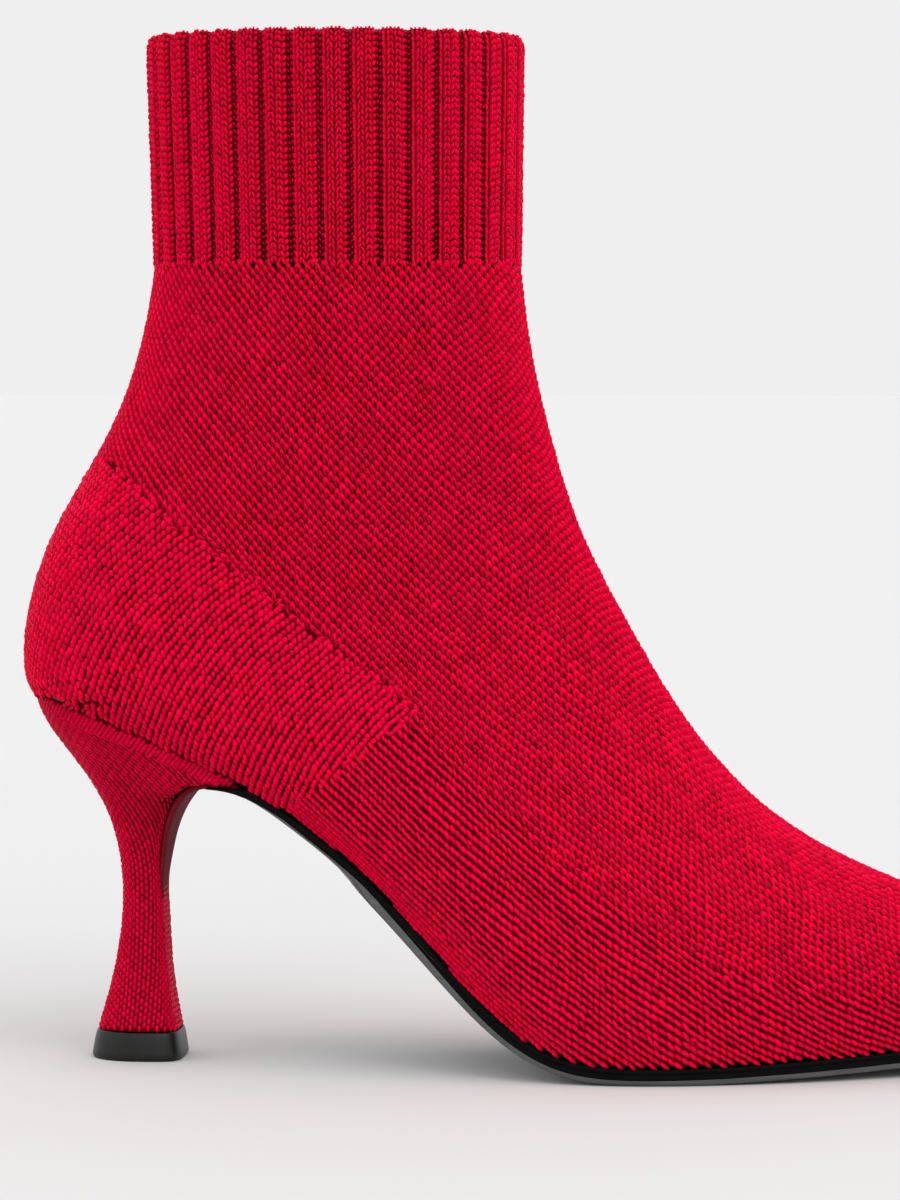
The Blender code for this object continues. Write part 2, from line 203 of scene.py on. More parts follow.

# Injection-moulded TPU outsole with faint lengthwise drag lines: its edge is trimmed matt and black,
# its underside is polished and catches the floor's light at grazing angles, and the underside's grey colour
# is a painted reflection of that light on the black rubber. Colour, roughness, specular.
soleLook = {"edge": ("#050605", 0.5, 0.04), "undersidePaintedReflection": ("#5C5E5E", 0.3, 1.0), "worn": "#0C0D0C",
            "dragPerMetre": (60.0, 200.0, 900.0), "bumpMm": 0.05}


def soleMaterial(name, colour, roughness, specular):
    material, tree, shader = newMaterial(name, {"Roughness": roughness, "Specular IOR Level": specular})
    place = addNode(tree, "ShaderNodeTexCoord")
    stretch = addNode(tree, "ShaderNodeMapping", {
        "Vector": place.outputs["Object"], "Scale": soleLook["dragPerMetre"]})
    drag = addNode(tree, "ShaderNodeTexNoise", {
        "Vector": stretch.outputs["Vector"], "Scale": 1.0, "Detail": 4.0})
    shade = addNode(tree, "ShaderNodeMix", {
        "Factor": drag.outputs["Fac"], "A": toLinear(colour), "B": toLinear(soleLook["worn"]),
    }, data_type="RGBA")
    tree.links.new(shade.outputs[2], shader.inputs["Base Color"])
    bump = addNode(tree, "ShaderNodeBump", {
        "Height": drag.outputs["Fac"], "Strength": 0.15, "Distance": soleLook["bumpMm"] * mm})
    tree.links.new(bump.outputs["Normal"], shader.inputs["Normal"])
    return material


soleEdge = soleMaterial("moulded_tpu_sole_edge", *soleLook["edge"])
soleUnderside = soleMaterial("moulded_tpu_polished_underside_painted_reflection", *soleLook["undersidePaintedReflection"])

# Smooth finished leather pulled over the front of the heel: even, dull and finely grained.
breastLook = {"colour": "#72101E", "pale": "#7E202C", "roughness": 0.5, "specular": 0.004, "grainMm": 0.6,
              "bumpMm": 0.05}
satinLeather, tree, shader = newMaterial("satin_coated_leather", {
    "Roughness": breastLook["roughness"], "Specular IOR Level": breastLook["specular"]})
place = addNode(tree, "ShaderNodeTexCoord")
grain = addNode(tree, "ShaderNodeTexVoronoi", {
    "Vector": place.outputs["Object"], "Scale": 1000 / breastLook["grainMm"]})
leatherMix = addNode(tree, "ShaderNodeMix", {
    "Factor": grain.outputs["Distance"], "A": toLinear(breastLook["pale"]),
    "B": toLinear(breastLook["colour"])}, data_type="RGBA")
tree.links.new(leatherMix.outputs[2], shader.inputs["Base Color"])
leatherBump = addNode(tree, "ShaderNodeBump", {
    "Height": grain.outputs["Distance"], "Strength": 0.2, "Distance": breastLook["bumpMm"] * mm})
tree.links.new(leatherBump.outputs["Normal"], shader.inputs["Normal"])

# Polyurethane top piece, moulded and trimmed: dark grey-black and satin, lightly scuffed.
tipLook = {"colour": "#0D0E0D", "scuffed": "#1C1D1B", "roughness": 0.36, "specular": 0.25,
           "scuffsPerMetre": 900.0}
tipRubber, tree, shader = newMaterial("moulded_polyurethane_tip", {
    "Roughness": tipLook["roughness"], "Specular IOR Level": tipLook["specular"]})
place = addNode(tree, "ShaderNodeTexCoord")
scuff = addNode(tree, "ShaderNodeTexNoise", {
    "Vector": place.outputs["Object"], "Scale": tipLook["scuffsPerMetre"], "Detail": 5.0})
tipMix = addNode(tree, "ShaderNodeMix", {
    "Factor": scuff.outputs["Fac"], "A": toLinear(tipLook["colour"]), "B": toLinear(tipLook["scuffed"]),
}, data_type="RGBA")
tree.links.new(tipMix.outputs[2], shader.inputs["Base Color"])
print("materials made")


# A stroke is one leg of yarn with its head at the start. A loop is a head over two spread legs,
# with the hole between the legs. Each has one height for every step along and every lane across.
strokeShape = {"along": (0.0, 0.2, 0.5, 0.8, 1.0), "width": (0.5, 0.92, 1.0, 0.86, 0.5),
               "lanes": (-1.0, -0.42, 0.42, 1.0),
               "heights": ((0.0, 0.3, 0.3, 0.0), (0.0, 0.92, 0.92, 0.0), (0.0, 0.95, 0.95, 0.0),
                           (0.0, 0.62, 0.62, 0.0), (0.0, 0.1, 0.1, 0.0))}
loopShape = {"along": (0.0, 0.3, 0.66, 1.0), "width": (0.5, 0.98, 1.12, 1.1),
             "lanes": (-1.0, -0.5, 0.0, 0.5, 1.0),
             "heights": ((0.0, 0.5, 0.7, 0.5, 0.0), (0.1, 0.9, 1.0, 0.9, 0.1), (0.1, 0.74, 0.1, 0.84, 0.1),
                         (0.0, 0.34, -0.5, 0.5, 0.0))}


def makeStitch(shape):
    bm = bmesh.new()
    steps, lanes = len(shape["along"]), len(shape["lanes"])
    bmesh.ops.create_grid(bm, x_segments=steps - 1, y_segments=lanes - 1, size=1.0)
    points = []
    for vert in bm.verts:
        step = int(round((vert.co.x + 1) / 2 * (steps - 1)))
        lane = int(round((vert.co.y + 1) / 2 * (lanes - 1)))
        points.append((shape["along"][step] - 0.5, shape["lanes"][lane] * shape["width"][step],
                       shape["heights"][step][lane]))
    faces = [[vert.index for vert in face.verts] for face in bm.faces]
    bm.free()
    return np.array(points), np.array(faces)


strokeStitch, loopStitch = makeStitch(strokeShape), makeStitch(loopShape)


def stitchMesh(name, spots, stitch):
    (along, across, rise), faces = stitch[0].T, stitch[1]
    count, corners = len(spots["place"]), len(along)
    side = unit(np.cross(spots["up"], spots["along"]))
    height = spots["low"][:, None] + rise[None, :] * (spots["high"] - spots["low"])[:, None]
    points = (spots["place"][:, None, :]
              + spots["along"][:, None, :] * (along[None, :, None] * spots["length"][:, None, None])
              + side[:, None, :] * (across[None, :, None] * spots["width"][:, None, None] / 2)
              + spots["up"][:, None, :] * height[:, :, None])
    faces = faces[None, :, :] + (np.arange(count) * corners)[:, None, None]
    mesh = bpy.data.meshes.new(name)
    mesh.from_pydata((points.reshape(-1, 3) * mm).tolist(), [], faces.reshape(-1, 4).tolist(),
                     shade_flat=False)
    riseLayer = mesh.attributes.new("rise", "FLOAT", "POINT")
    riseLayer.data.foreach_set("value", np.tile(rise, count).astype(np.float32))
    tintLayer = mesh.attributes.new("tint", "FLOAT", "POINT")
    tintLayer.data.foreach_set("value", np.repeat(spots["tint"], corners).astype(np.float32))
    return mesh


# The points, normals and triangles of a rounded copy, lifted off it: what the stitches lie on.
def denseSkin(bm, levels, lift):
    mesh = bpy.data.meshes.new("skin")
    bm.to_mesh(mesh)
    helper = bpy.data.objects.new("skin", mesh)
    bpy.context.collection.objects.link(helper)
    addSubdivision(helper, levels)
    bpy.context.view_layer.update()
    rounded = helper.evaluated_get(bpy.context.evaluated_depsgraph_get()).to_mesh()
    place = np.empty(len(rounded.vertices) * 3)
    normal = np.empty(len(rounded.vertices) * 3)
    rounded.vertices.foreach_get("co", place)
    rounded.vertices.foreach_get("normal", normal)
    rounded.calc_loop_triangles()
    corners = np.empty(len(rounded.loop_triangles) * 3, dtype=np.int32)
    rounded.loop_triangles.foreach_get("vertices", corners)
    bpy.data.objects.remove(helper)
    bpy.data.meshes.remove(mesh)
    normal = unit(normal.reshape(-1, 3))
    return place.reshape(-1, 3) / mm + normal * lift, normal, corners.reshape(-1, 3)


# Side-view coordinates that keep growing round the front and the back, so that stitches stay even there.
def unrolled(place, normal, radius):
    table = place + tableShift
    turned = np.arccos(np.clip(np.abs(normal[:, 1]), 0.0, 1.0))
    spare = radius * (turned - np.sin(turned))
    flat = np.maximum(np.hypot(normal[:, 0], normal[:, 2]), 1e-6)
    return table[:, 0] + spare * normal[:, 0] / flat, table[:, 2] + spare * normal[:, 2] / flat


mostSteps = 4       # columns or rows that one triangle of the skin may span


# Every whole-number crossing of the column and row fields on the skin, with the steps to its neighbours.
def crossings(skin, column, row, wanted):
    place, normal, corners = skin
    corners = corners[wanted[corners].any(axis=1)]
    c, r = column[corners], row[corners]
    c1, c2, r1, r2 = c[:, 1] - c[:, 0], c[:, 2] - c[:, 0], r[:, 1] - r[:, 0], r[:, 2] - r[:, 0]
    det = c1 * r2 - c2 * r1
    det[np.abs(det) < 1e-9] = 1e-9
    lowC, lowR = np.ceil(c.min(axis=1)), np.ceil(r.min(axis=1))
    spanC = int((c.max(axis=1) - lowC).max()) + 1
    spanR = int((r.max(axis=1) - lowR).max()) + 1
    found = {"face": [], "share": [], "column": [], "row": []}
    for i in range(min(spanC, mostSteps)):
        for j in range(min(spanR, mostSteps)):
            dc, dr = lowC + i - c[:, 0], lowR + j - r[:, 0]
            b1, b2 = (dc * r2 - c2 * dr) / det, (c1 * dr - dc * r1) / det
            hit = np.nonzero((b1 >= 0) & (b2 >= 0) & (b1 + b2 < 1))[0]
            found["face"].append(hit)
            found["share"].append(np.stack([1 - b1 - b2, b1, b2], axis=1)[hit])
            found["column"].append((lowC + i)[hit])
            found["row"].append((lowR + j)[hit])
    face, share = np.concatenate(found["face"]), np.concatenate(found["share"])
    three = corners[face]
    edge1, edge2 = place[three[:, 1]] - place[three[:, 0]], place[three[:, 2]] - place[three[:, 0]]
    scale = det[face][:, None]
    return {
        "place": (place[three] * share[:, :, None]).sum(axis=1),
        "up": unit((normal[three] * share[:, :, None]).sum(axis=1)),
        "stepC": (edge1 * r2[face][:, None] - edge2 * r1[face][:, None]) / scale,
        "stepR": (edge2 * c1[face][:, None] - edge1 * c2[face][:, None]) / scale,
        "three": three, "share": share,
        "column": np.concatenate(found["column"]), "row": np.concatenate(found["row"]),
    }


def atSpots(spots, values):
    return (values[spots["three"]] * spots["share"]).sum(axis=1)


stitchLimits = {"length": (0.4, 3.6), "width": (0.4, 3.0), "tint": (0.6, 1.25)}


# Turns crossings into stitches: direction from the two steps, size from the cell, small random differences.
def layStitches(spots, alongC, alongR, lengthShare, widthShare, low, high, jitter):
    count = len(spots["place"])
    across = spots["stepC"] * np.broadcast_to(alongC, count)[:, None]
    along = across + spots["stepR"] * np.broadcast_to(alongR, count)[:, None]
    reach = np.linalg.norm(along, axis=1)
    cell = np.linalg.norm(np.cross(spots["stepC"], spots["stepR"]), axis=1)
    turn = dice.normal(0.0, jitter["turn"], count)
    along = unit(along)
    side = np.cross(spots["up"], along)
    along = unit(along * np.cos(turn)[:, None] + side * np.sin(turn)[:, None])
    shove = dice.normal(0.0, jitter["place"], (count, 2))
    return {
        "place": spots["place"] + along * shove[:, :1] + side * shove[:, 1:],
        "up": spots["up"], "along": along,
        "length": np.clip(reach * lengthShare * (1 + dice.normal(0.0, jitter["size"], count)),
                          *stitchLimits["length"]),
        "width": np.clip(cell / np.maximum(reach, 1e-6) * widthShare, *stitchLimits["width"])
                 * (1 + dice.normal(0.0, jitter["size"], count)),
        "low": np.full(count, low), "high": high + dice.normal(0.0, jitter["height"], count),
        "tint": np.clip(dice.normal(1.0, jitter["tint"], count), *stitchLimits["tint"]),
        "cell": cell,
    }


def keep(spots, mask):
    return {name: value[mask] for name, value in spots.items()}


# The knitted upper: its closed shell first. The middle line runs down the shaft and out to the toe, so that
# a face that looks away from it lies on the outside.
upperParts = {"lift": 0.25, "groundDepth": 0.35, "cuffTuck": 1.7, "cuffBottom": 179.0, "skinTop": 178.9,
              "turnedIn": {"angle": 50.0, "below": 0.9},
              "middleLine": ((70.5, 235.0), (70.5, 150.0), (66.0, 118.0), (72.0, 96.0), (90.0, 66.0),
                             (125.0, 38.0), (160.0, 24.0), (200.0, 18.0), (231.0, 14.0))}


def outwardShare(centre, normal):
    line = np.array(upperParts["middleLine"])
    starts, steps = line[:-1], np.diff(line, axis=0)
    spot = np.array([centre[0], centre[2]]) / mm + tableShift[[0, 2]]
    share = np.clip(((spot - starts) * steps).sum(axis=1) / (steps ** 2).sum(axis=1), 0, 1)
    nearest = starts + steps * share[:, None]
    best = nearest[np.argmin(((spot - nearest) ** 2).sum(axis=1))]
    away = np.array([spot[0] - best[0], centre[1] / mm, spot[1] - best[1]])
    return float(away @ np.array(normal))


shell = mergedCopy("knit_upper")
shell.normal_update()
for face in shell.faces:
    face.material_index = 0 if outwardShare(face.calc_center_median(), face.normal) > 0 else 1
for face in shell.faces:
    centre = face.calc_center_median()
    turnedIn = upperParts["turnedIn"]
    steep = sum(edge.calc_face_angle(0.0) > math.radians(turnedIn["angle"]) for edge in face.edges)
    if steep > 1 and centre.z < turnedIn["below"] * upperParts["cuffBottom"] * mm:
        face.material_index = 2          # the turned-in edge that the sole covers
print("upper faces outside, inside, turned in:",
      [sum(f.material_index == i for f in shell.faces) for i in range(3)])

skinSource = shell.copy()
bmesh.ops.delete(skinSource, context="FACES", geom=[
    f for f in skinSource.faces
    if f.material_index != 0 or max(v.co.z for v in f.verts) > upperParts["skinTop"] * mm])
upperSkin = denseSkin(skinSource, 3, upperParts["lift"])
skinSource.free()
print("support skin:", len(upperSkin[0]), "points")

for vert in shell.verts:
    kinds = {face.material_index for face in vert.link_faces}
    if vert.co.z > (upperParts["cuffBottom"] - 0.5) * mm:
        if 0 in kinds:
            vert.co -= vert.normal * upperParts["cuffTuck"] * mm
    elif kinds == {0}:
        vert.co += vert.normal * (upperParts["lift"] - upperParts["groundDepth"]) * mm
for face in shell.faces:
    face.material_index = min(face.material_index, 1)
    face.smooth = True
upperShell = addPiece("upper_shell", shell, [knitGround, knitLining], ["knit_upper"])
addSubdivision(upperShell, 2)
print("upper shell made")


# The upper's stitches. Measured on the side of the boot: where, how far the rows fall towards the toe
# in degrees, and the upright gap between them. One spot on the vamp stands twice, so that it counts double.
rowSamples = (
    (80, 171, 49, 2.5), (103, 138, 38, 1.95), (158, 36, 29.5, 1.45), (84, 62, 46, 2.3),
    (129, 24, 38, 2.1), (163, 13, 33, 1.9), (187, 13, 27, 1.9), (35, 160, 49, 2.5),
    (60, 130, 42, 2.2), (140, 60, 31, 1.5), (225, 20, 22, 1.7), (158, 36, 29.5, 1.45),
    (65, 62, 48, 2.3), (81, 62, 50, 2.35), (100, 53, 50, 2.2), (94, 40, 49, 2.25),
    (75, 52, 48, 2.3), (84, 50, 49, 2.3))
columnGaps = ((90.0, 150.0), (1.06, 1.55))      # along the boot, and the gap between columns there
# The heel cup's ropes: where, and how steeply they climb.
ropeSamples = (
    (21, 78, 80), (14, 104, 54), (34, 96, 52), (38, 74, 68), (60, 83, 50), (64, 72, 56),
    (6, 95, 62), (72, 76, 47), (30, 115, 46), (20, 90, 65), (50, 95, 48))
cupRopes = {"pitch": 1.58, "bead": 1.3, "fuzz": 0.7, "overlap": 0.3, "blend": 0.4, "aboveSeam": 0.35,
            "cells": (0.6, 6.0), "border": 2.2, "turn": 0.11, "borderTurn": 0.4, "unevenHeight": 0.07}
goreLine = ((-60.0, 141.0), (8.0, 139.0), (22.0, 134.5), (30.3, 127.6), (91.0, 80.4))
archLine = {"start": (91.0, 80.4), "rise": 24.7 / 31.4}
# Where the ropes of the foot's side end, and where the upper sits on the heel.
ropeTop = ((60.0, 91.0, 129.0, 160.0, 240.0), (58.0, 74.0, 38.0, 20.0, 6.0))
ropeEnd = {"softOver": 9.0, "fuzz": 0.18, "highest": 118.0}
seatLine = ((-10.0, 2.2, 10.0, 18.5, 29.0, 41.0, 53.0, 53.1),
            (84.0, 83.0, 81.1, 78.2, 74.2, 69.0, 63.2, 0.0))
upperRound = ((100.0, 150.0, 195.0, 237.0), (22.0, 24.0, 23.0, 6.0))    # radius over the front
wave = {"size": 0.3, "length": 17.0, "edge": 0.7}
# Where the two sides meet down the front and up the back: a straight strip of plain columns.
middleStrip = {"half": 0.13, "overlap": 0.05, "columns": 1.3, "rows": 1.55, "steepest": 6.0}
latticeBorder = {"reach": 3.0, "fuzz": 0.7, "overlap": 0.4, "width": 2.5, "turn": 0.5, "size": 0.12,
                 "cells": (0.2, 8.0)}
vampTop = 62.0
# How a stitch lies in its cell: its direction in steps along the columns and rows, and its share of the
# cell's length and width. Then how deep its sides and how high its crest are, seen from the skin.
stitchLay = {"loop": {"alongC": 0.75, "alongR": -0.62, "lengthShare": 1.02, "widthShare": 1.22},
             "rope": {"alongC": 1.0, "alongR": -0.28, "lengthShare": 1.3, "widthShare": 0.92},
             "bead": {"alongC": -1.0, "alongR": 0.42, "lengthShare": 1.42, "widthShare": 1.0},
             "plain": {"alongC": 0.0, "alongR": 1.0, "lengthShare": 1.3, "widthShare": 1.15}}
shaftLoops = {"from": (60.0, 95.0), "turn": 0.15}       # up the shaft the loops stand a little steeper
upperDepth = {"low": -0.45, "high": 0.36}
beadHigh = 0.38
upperJitter = {"turn": 0.09, "place": 0.06, "size": 0.07, "height": 0.05, "tint": 0.09}


def rowTerms(x, z):
    u, v = (x - 120.0) / 100.0, (z - 80.0) / 100.0
    zero, one = np.zeros_like(u), np.ones_like(u)
    value = np.stack([u, v, u * u, u * v, v * v], axis=-1)
    slopeX = np.stack([one, zero, 2 * u, v, zero], axis=-1) / 100.0
    slopeZ = np.stack([zero, one, zero, u, 2 * v], axis=-1) / 100.0
    return value, slopeX, slopeZ


# The smooth field whose steps along and up the boot come closest to the measured ones.
def fitField(x, z, stepX, stepZ):
    slopeX, slopeZ = rowTerms(x, z)[1:]
    return np.linalg.lstsq(np.vstack([slopeX, slopeZ]), np.concatenate([stepX, stepZ]), rcond=None)[0]


sampleX, sampleZ, fall, gap = np.array(rowSamples, dtype=float).T
rowWeights = fitField(sampleX, sampleZ, np.tan(np.radians(fall)) / gap, 1.0 / gap)


def wavy(x, z, phase):
    turns = 2 * math.pi / wave["length"]
    swell = np.sin(turns * (x * 0.8 + z * 0.5) + phase)
    return wave["size"] * (swell + np.sin(turns * 0.6 * (z - x * 0.3) + 2 * phase))


def aboveSeat(table):
    return table[:, 2] - np.interp(table[:, 0], *seatLine)


skinPlace, skinNormal = upperSkin[:2]
skinTable = skinPlace + tableShift
roundness = np.interp(skinTable[:, 0], *upperRound)
flatX, flatZ = unrolled(skinPlace, skinNormal, roundness)
bentX = flatX + wavy(flatX, flatZ, 0.4)
bentZ = flatZ + wavy(flatX, flatZ, 1.9)
edgeX = flatX + wave["edge"] * np.sin(flatX * 1.3 + flatZ * 0.9)
edgeZ = flatZ + wave["edge"] * np.sin(flatX * 0.8 - flatZ * 1.7)
belowGore = np.interp(edgeX, *np.array(goreLine).T) - edgeZ
leftOfArch = edgeZ - (archLine["start"][1] + archLine["rise"] * (edgeX - archLine["start"][0]))
cupDepth = np.minimum(np.minimum(belowGore, leftOfArch), archLine["start"][0] - edgeX)

gridX = np.arange(-60.0, 300.0, 0.5)
gridColumns = np.cumsum(0.5 / np.interp(gridX, *columnGaps))
column = np.interp(bentX, gridX, gridColumns)
row = rowTerms(bentX, bentZ)[0] @ rowWeights
lattice = crossings(upperSkin, column, row, cupDepth < latticeBorder["reach"])
fuzz = dice.normal(0.0, latticeBorder["fuzz"], len(lattice["place"]))
lattice = keep(lattice, atSpots(lattice, cupDepth) + fuzz < latticeBorder["overlap"])
lattice = keep(lattice, np.abs(lattice["up"][:, 1]) > middleStrip["half"])
spotX, spotZ = atSpots(lattice, flatX), atSpots(lattice, flatZ)
# 1 on the ropes of the foot's side, 0 on the loops above them
ropy = 1 - smoothStep(spotZ - np.interp(spotX, *ropeTop), 0.0, ropeEnd["softOver"])
shaft = smoothStep(spotZ, *shaftLoops["from"])
mixed = np.exp(-(atSpots(lattice, cupDepth) / latticeBorder["width"]) ** 2)
borderJitter = {**upperJitter, "turn": upperJitter["turn"] + latticeBorder["turn"] * mixed,
                "size": upperJitter["size"] + latticeBorder["size"] * mixed}
loopLay = {**stitchLay["loop"], "alongC": stitchLay["loop"]["alongC"] - shaftLoops["turn"] * shaft}
loops = layStitches(lattice, **loopLay, **upperDepth, jitter=borderJitter)
ropes = layStitches(lattice, **stitchLay["rope"], **upperDepth, jitter=upperJitter)
nominal = np.interp(spotX, *columnGaps) * 1.9
smallest, largest = latticeBorder["cells"]
sound = (loops["cell"] > smallest * nominal) & (loops["cell"] < largest * nominal)
roped = ropy + dice.normal(0.0, ropeEnd["fuzz"], len(ropy)) > 0.5
print("lattice stitches:", len(spotX))

onShaft, onVamp = spotZ > ropeEnd["highest"], spotZ <= vampTop
pieces = {"shaft_knit": (onShaft, loops, loopStitch),
          "instep_knit": (~onShaft & ~onVamp & ~roped, loops, loopStitch),
          "vamp_knit": (onVamp & ~roped, loops, loopStitch),
          "foot_side_knit": (~onShaft & roped, ropes, strokeStitch)}
for name, (mask, source, stitch) in pieces.items():
    part = keep(source, mask & sound)
    addPiece(name, stitchMesh(name, part, stitch), [redYarn])
    print(name, len(part["place"]), "stitches")

sampleX, sampleZ, climb = np.array(ropeSamples, dtype=float).T
climb = np.radians(climb)
pitch, bead = cupRopes["pitch"], cupRopes["bead"]
acrossRopes = fitField(sampleX, sampleZ, np.sin(climb) / pitch, -np.cos(climb) / pitch)
alongRopes = fitField(sampleX, sampleZ, np.cos(climb) / bead, np.sin(climb) / bead)
cupX = (1 - cupRopes["blend"]) * flatX + cupRopes["blend"] * bentX
cupZ = (1 - cupRopes["blend"]) * flatZ + cupRopes["blend"] * bentZ
cupTerms = rowTerms(cupX, cupZ)[0]
cup = crossings(upperSkin, cupTerms @ alongRopes, cupTerms @ acrossRopes, cupDepth > -latticeBorder["reach"])
fuzz = dice.normal(0.0, cupRopes["fuzz"], len(cup["place"]))
cup = keep(cup, atSpots(cup, cupDepth) + fuzz > -cupRopes["overlap"])
mixed = np.exp(-(atSpots(cup, cupDepth) / cupRopes["border"]) ** 2)
high = beadHigh + cupRopes["unevenHeight"] * dice.normal(0.0, 1.0, len(mixed))
cupStitches = layStitches(cup, **stitchLay["bead"], low=upperDepth["low"], high=high, jitter={
    **upperJitter, "turn": cupRopes["turn"] + cupRopes["borderTurn"] * mixed, "place": 0.08, "size": 0.1})
cupStitches["cell"][np.abs(cup["up"][:, 1]) < middleStrip["half"]] = 0.0
cupStitches = keep(cupStitches, (cupStitches["cell"] > cupRopes["cells"][0])
                   & (cupStitches["cell"] < cupRopes["cells"][1])
                   & (aboveSeat(cup["place"] + tableShift) > cupRopes["aboveSeam"]))
addPiece("heel_cup_knit", stitchMesh("heel_cup_knit", cupStitches, strokeStitch), [redYarn])
print("heel cup stitches:", len(cupStitches["place"]))

forward = skinNormal[:, 0] > -0.1
down = np.where(forward, 0.8 * (skinTable[:, 0] - skinTable[:, 2]), -1.02 * skinTable[:, 2])
middle = crossings(upperSkin, skinTable[:, 1] / middleStrip["columns"] + 0.5, down / middleStrip["rows"],
                   np.abs(skinNormal[:, 1]) < middleStrip["half"] + 0.15)
middle = keep(middle, np.abs(middle["up"][:, 1]) < middleStrip["half"] + middleStrip["overlap"])
middleStitches = layStitches(middle, **stitchLay["plain"], **upperDepth, jitter=upperJitter)
middleStitches = keep(middleStitches, (aboveSeat(middle["place"] + tableShift) > cupRopes["aboveSeam"])
                      & (middleStitches["cell"] < middleStrip["steepest"]))
addPiece("middle_knit", stitchMesh("middle_knit", middleStitches, loopStitch), [redYarn])
print("middle stitches:", len(middleStitches["place"]))


# The ribbed cuff, on an oval whose size changes a little up to the top.
cuffParts = {"ribs": 36, "bottom": 179.0, "top": 230.2, "centre": (70.9, 70.4), "length": (82.8, 85.0),
             "widthShare": 0.8, "course": 1.42,
             # every leg across a rib: place, lean, width, length in courses
             "legs": ((-2.2, 0.12, 0.85, 1.6), (-1.32, -0.3, 0.74, 1.35), (-0.44, 0.34, 0.74, 1.35),
                      (0.44, -0.34, 0.74, 1.35), (1.32, 0.36, 0.8, 1.3), (2.15, -0.5, 1.08, 1.08)),
             "groove": ((-0.3, 0.6, 0.42, 0.7), (0.3, -0.6, 0.42, 0.7)), "ribHalf": 1.2,
             "grooveDepth": 1.2, "rimDip": 0.7, "rimReach": 1.5, "ground": 0.46, "groundInside": 0.3,
             "legHigh": 0.38, "grooveHigh": 0.3, "low": -0.45, "uneven": 0.55}
cuffJitter = {"lean": 0.06, "place": 0.04, "length": 0.05, "width": 0.06, "height": 0.05, "tint": 0.09}
rimStitches = {"shorter": 0.45, "reach": 2.2}       # shorter where they bend over the rim
# Up the outside, over the rim and down the inside: inset from the ribs' crests, height under the
# cuff's top, and how much of the ribbing is left there.
cuffProfile = ((0.3, 51.8, 0.5), (0.3, 49.8, 1.0), (0.3, 3.6, 1.0), (0.42, 2.3, 1.0), (0.9, 1.1, 0.9),
               (1.6, 0.45, 0.8), (2.3, 0.55, 0.5), (2.95, 1.5, 0.1), (3.1, 4.5, 0.0))
ovalTurn = np.linspace(0.0, 2 * math.pi, 4001)
ovalStep = np.hypot(np.sin(ovalTurn), cuffParts["widthShare"] * np.cos(ovalTurn))
ovalShare = np.concatenate([[0.0], np.cumsum((ovalStep[1:] + ovalStep[:-1]) / 2)])
ovalShare /= ovalShare[-1]
profile = np.array(cuffProfile)
profileRun = np.concatenate([[0.0], np.cumsum(np.hypot(*np.diff(profile[:, :2], axis=0).T))])
ribPitch = 1.0 / cuffParts["ribs"]
ovalRound = 5.66        # once round the oval, in half lengths


def cuffPoint(share, run, extra):
    share, run = np.broadcast_arrays(share, run)
    turn = np.interp(share % 1.0, ovalShare, ovalTurn)
    inset, drop, ribbing = (np.interp(run, profileRun, profile[:, i]) for i in range(3))
    height = cuffParts["top"] - drop
    up = np.clip((height - cuffParts["bottom"]) / (cuffParts["top"] - cuffParts["bottom"]), 0, 1)
    centre = cuffParts["centre"][0] + up * (cuffParts["centre"][1] - cuffParts["centre"][0])
    half = (cuffParts["length"][0] + up * (cuffParts["length"][1] - cuffParts["length"][0])) / 2
    perimeter = half * ovalRound
    offset = np.abs(((share / ribPitch) % 1.0 - 0.5)) * ribPitch * perimeter      # from the rib's crest, mm
    halfRib = ribPitch * perimeter / 2
    valley = 0.5 - 0.5 * np.cos(math.pi * np.clip((offset - cuffParts["ribHalf"])
                                                  / (halfRib - cuffParts["ribHalf"]), 0, 1))
    inset = inset + extra + cuffParts["grooveDepth"] * valley * ribbing
    height = height - cuffParts["rimDip"] * valley * ribbing * np.exp(-drop / cuffParts["rimReach"])
    outX, outY = np.cos(turn) * cuffParts["widthShare"], np.sin(turn)
    size = np.hypot(outX, outY)
    return np.stack([centre + half * np.cos(turn) - inset * outX / size - tableShift[0],
                     half * cuffParts["widthShare"] * np.sin(turn) - inset * outY / size - tableShift[1],
                     height], axis=-1)


def cuffStitches(share, run, tilt, width, length, high):
    place = cuffPoint(share, run, 0.0)
    alongShare = cuffPoint(share + 0.0004, run, 0.0) - cuffPoint(share - 0.0004, run, 0.0)
    alongRun = cuffPoint(share, run + 0.25, 0.0) - cuffPoint(share, run - 0.25, 0.0)
    side, rise = unit(alongShare), unit(alongRun)
    up = unit(np.cross(side, rise))
    count = len(place)
    rim = np.exp(-((np.interp(run, profileRun, profile[:, 1])) / rimStitches["reach"]) ** 2)
    length = length * (1 - rimStitches["shorter"] * rim)
    leaning = tilt + dice.normal(0.0, cuffJitter["lean"], count)
    down = unit(-rise * np.cos(leaning)[:, None] + side * np.sin(leaning)[:, None])
    return {"place": place + dice.normal(0.0, cuffJitter["place"], (count, 3)), "up": up, "along": down,
            "length": length * (1 + dice.normal(0, cuffJitter["length"], count)),
            "width": width * (1 + dice.normal(0, cuffJitter["width"], count)),
            "low": np.full(count, cuffParts["low"]),
            "high": high + dice.normal(0.0, cuffJitter["height"], count),
            "tint": np.clip(dice.normal(1.0, cuffJitter["tint"], count), *stitchLimits["tint"])}


def joined(groups):
    return {name: np.concatenate([group[name] for group in groups]) for name in groups[0]}


